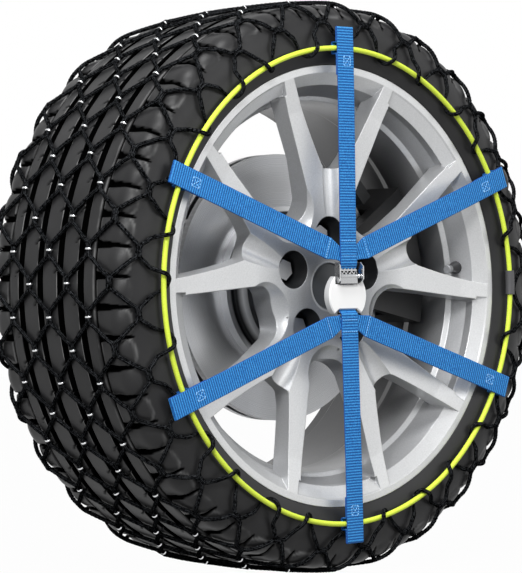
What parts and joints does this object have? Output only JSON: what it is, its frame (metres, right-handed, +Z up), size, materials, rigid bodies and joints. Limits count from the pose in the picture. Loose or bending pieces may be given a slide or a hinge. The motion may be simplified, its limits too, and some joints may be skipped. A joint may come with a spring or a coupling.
{
  "type": "road wheel with a composite snow chain",
  "caption": "Alloy road wheel and tyre wearing a net snow chain: rope net over the tread, elastic rings, blue webbing star and central cam buckle, on a hub with a disc brake.",
  "frame": {"origin": "centre of the wheel, on the spin axis midway between the rim flanges", "axes": "+Y along the spin axis, pointing inboard to the car; +Z up; +X right as seen from outboard"},
  "size_m": [0.6442, 0.2685, 0.6442],
  "materials": {
    "silver_alloy": "fine silver lacquer, slightly metallic",
    "tyre_rubber": "matt black rubber",
    "cap_plastic": "smooth dark grey",
    "bolt_steel": "plated",
    "valve_rubber": "matt",
    "disc_iron": "dark machined iron",
    "hub_steel": "dull steel",
    "carrier_iron": "black coated casting",
    "piston_steel": "plated",
    "pad_lining": "pressed friction lining on a steel plate",
    "rope": "braided rope, black with light flecks",
    "ring_cord": "yellow covered elastic cord",
    "tie_rope": "thin black rope",
    "joiner_grey": "moulded sleeve",
    "webbing": "blue woven webbing",
    "plate_white": "smooth white moulding",
    "buckle_steel": "stamped steel, nickel plated"
  },
  "bodies": {
    "carrier": {"hub_carrier": "carrier_iron", "bearing_outer_ring": "hub_steel", "caliper_bracket": "carrier_iron", "bracket_bolts": "hub_steel", "brake_caliper": "carrier_iron", "brake_piston": "piston_steel", "brake_pads": "pad_lining", "guide_pins": "carrier_iron"},
    "wheel": {"alloy_wheel": "silver_alloy", "tyre": "tyre_rubber", "centre_cap": "cap_plastic", "wheel_bolts": "bolt_steel", "valve_stem": "valve_rubber", "valve_cap": "valve_rubber", "brake_disc": "disc_iron", "hub_flange": "hub_steel", "bearing_inner_ring": "hub_steel", "hub_nut": "hub_steel", "tread_net": "rope", "outer_side_net": "rope", "inner_side_net": "rope", "outer_ring_cord": "ring_cord", "inner_ring_cord": "ring_cord", "outer_ring_ties": "tie_rope", "inner_ring_ties": "tie_rope", "ring_joiner": "joiner_grey", "strap_top": "webbing", "strap_bottom": "webbing", "strap_upper_left": "webbing", "strap_upper_right": "webbing", "strap_lower_left": "webbing", "strap_lower_right": "webbing", "tension_plate": "plate_white", "plate_washers": "buckle_steel", "buckle_frame": "buckle_steel", "cam_pin": "buckle_steel", "cam_spring": "buckle_steel"},
    "cam": {"cam_lever": "buckle_steel"}
  },
  "joints": [
    {"name": "wheel_spin", "type": "hinge", "parent": "carrier", "child": "wheel", "pos_m": [0, 0, 0], "axis": [0, 1, 0], "continuous": true},
    {"name": "cam_release", "type": "hinge", "parent": "wheel", "child": "cam", "pos_m": [0, -0.1303, 0.0105], "axis": [1, 0, 0], "range_deg": [0, 25], "stiffness_Nm_per_rad": 0.05, "springref_deg": -20.05}
  ]
}
